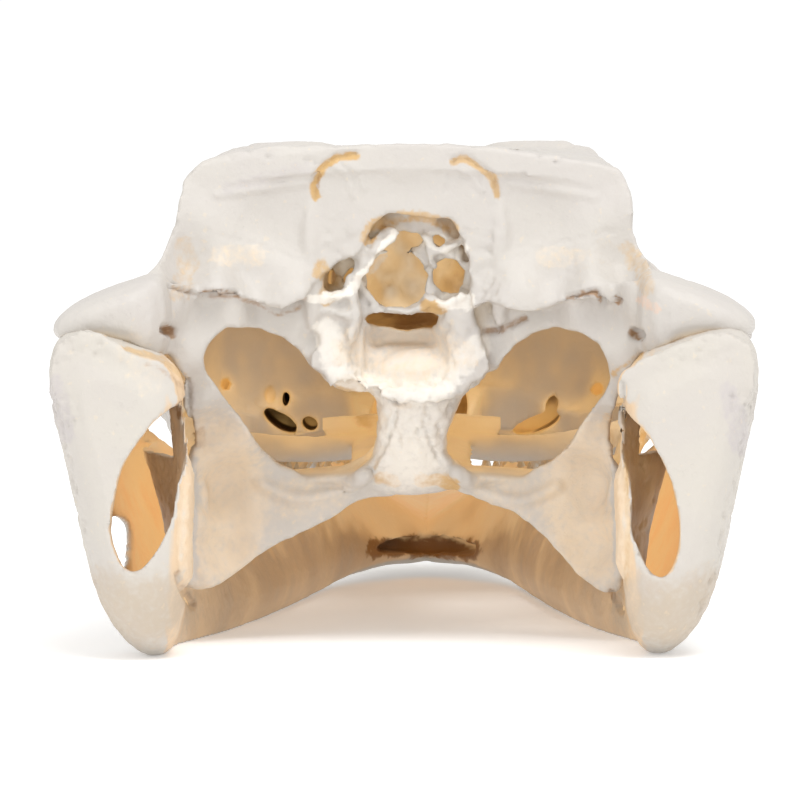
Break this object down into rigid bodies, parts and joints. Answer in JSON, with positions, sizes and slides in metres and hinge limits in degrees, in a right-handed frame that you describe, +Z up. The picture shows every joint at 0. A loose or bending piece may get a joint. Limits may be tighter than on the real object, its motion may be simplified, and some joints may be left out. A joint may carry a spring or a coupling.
{
  "type": "caiman skull",
  "caption": "Cleaned skull of a spectacled caiman with its lower jaw, the back of the braincase broken open, as a natural history specimen.",
  "frame": {"origin": "middle of the footprint of the whole skull, on the surface that it rests on", "axes": "+Y towards the tip of the snout, so the back of the skull faces -Y; +X to the right when looking along +Y; +Z up"},
  "size_m": [0.111, 0.223, 0.08],
  "materials": {
    "skull_bone": "dry cleaned bone, satin on the worn edges and matt in the pores",
    "jaw_bone": "dry cleaned bone, creamier outside and tan inside"
  },
  "bodies": {
    "root": {"cranium": "skull_bone", "mandible": "jaw_bone"}
  },
  "joints": []
}
